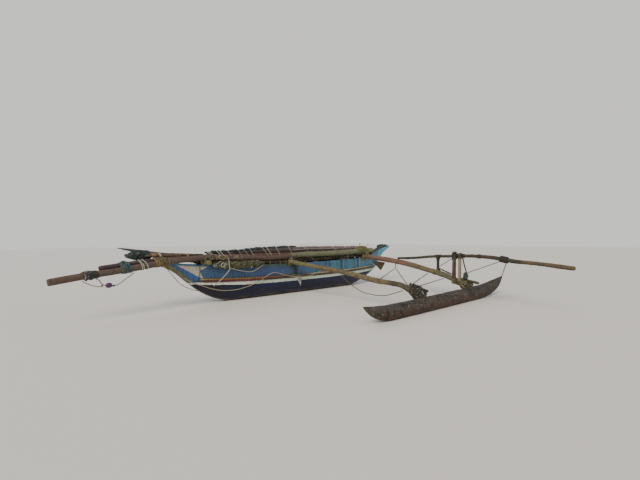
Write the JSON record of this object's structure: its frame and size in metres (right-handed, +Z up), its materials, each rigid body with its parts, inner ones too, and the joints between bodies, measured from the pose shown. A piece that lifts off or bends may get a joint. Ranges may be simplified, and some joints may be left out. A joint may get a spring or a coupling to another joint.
{
  "type": "outrigger canoe",
  "caption": "Beached sewn-plank outrigger canoe: hollow log hull with raised painted sides, lashed booms, a solid float and stowed spars.",
  "frame": {"origin": "middle of the hull's flat bottom, on the ground", "axes": "+X along the hull towards its far end, +Y away from the float, +Z up"},
  "size_m": [11.0536, 7.4893, 1.4234],
  "materials": {
    "red_paint": "worn paint, rust red",
    "brown_wood": "bare weathered timber",
    "dark_rope": "dark tarred rope",
    "teal_net": "bundled teal net",
    "sky_paint": "weathered paint, light blue",
    "stem_paint": "worn paint, olive green and orange",
    "tan_wood": "barked tan timber",
    "float_wood": "dark weathered log",
    "coir_rope": "worn coir rope",
    "navy_paint": "weathered gloss paint, navy blue",
    "olive_wood": "grey green weathered pole",
    "float_buoy": "dull purple plastic",
    "net_heap": "heaped brown and green net",
    "blue_paint": "weathered paint, mid blue",
    "cream_paint": "weathered paint, cream with blue edge",
    "sail_cloth": "rolled dark cotton sail"
  },
  "bodies": {
    "root": {"batten_float_side": "red_paint", "batten_off_side": "red_paint", "boom_knee": "brown_wood", "boom_strop": "dark_rope", "breasthook_far": "brown_wood", "breasthook_near": "brown_wood", "bundle_far": "teal_net", "end_board_far": "sky_paint", "end_board_near": "stem_paint", "far_boom": "tan_wood", "float": "float_wood", "float_lashing_far": "coir_rope", "float_lashing_near": "dark_rope", "hang_line": "coir_rope", "head_net_far": "teal_net", "head_net_near": "teal_net", "hollow_log": "navy_paint", "hull_line": "coir_rope", "inner_spar": "brown_wood", "long_spar": "olive_wood", "loop_buoy": "float_buoy", "near_boom": "tan_wood", "net_heap": "net_heap", "outboard_pole": "brown_wood", "outer_spar": "brown_wood", "peg_far": "brown_wood", "peg_near": "dark_rope", "plank_far_float_side": "sky_paint", "plank_far_off_side": "sky_paint", "plank_mid_float_side": "blue_paint", "plank_mid_off_side": "blue_paint", "plank_near_float_side": "cream_paint", "plank_near_off_side": "cream_paint", "post_back": "brown_wood", "post_inner": "brown_wood", "post_main": "brown_wood", "post_strap": "dark_rope", "post_strut": "brown_wood", "rail_float_side": "brown_wood", "rail_off_side": "brown_wood", "sail_roll": "sail_cloth", "side_line": "coir_rope", "slack_line": "coir_rope", "spar_crutch": "brown_wood", "spar_lashing_far": "coir_rope", "spar_lashing_head": "coir_rope", "spar_lashing_mid": "teal_net", "spar_lashing_tip": "coir_rope", "spar_loop": "coir_rope", "stay_inner": "dark_rope", "stay_middle": "dark_rope", "stay_outer": "dark_rope", "stay_tip": "dark_rope", "steering_oar": "brown_wood", "stem_line": "coir_rope", "thwart_1": "brown_wood", "thwart_2": "brown_wood", "thwart_3": "brown_wood", "tip_line": "coir_rope"}
  },
  "joints": []
}
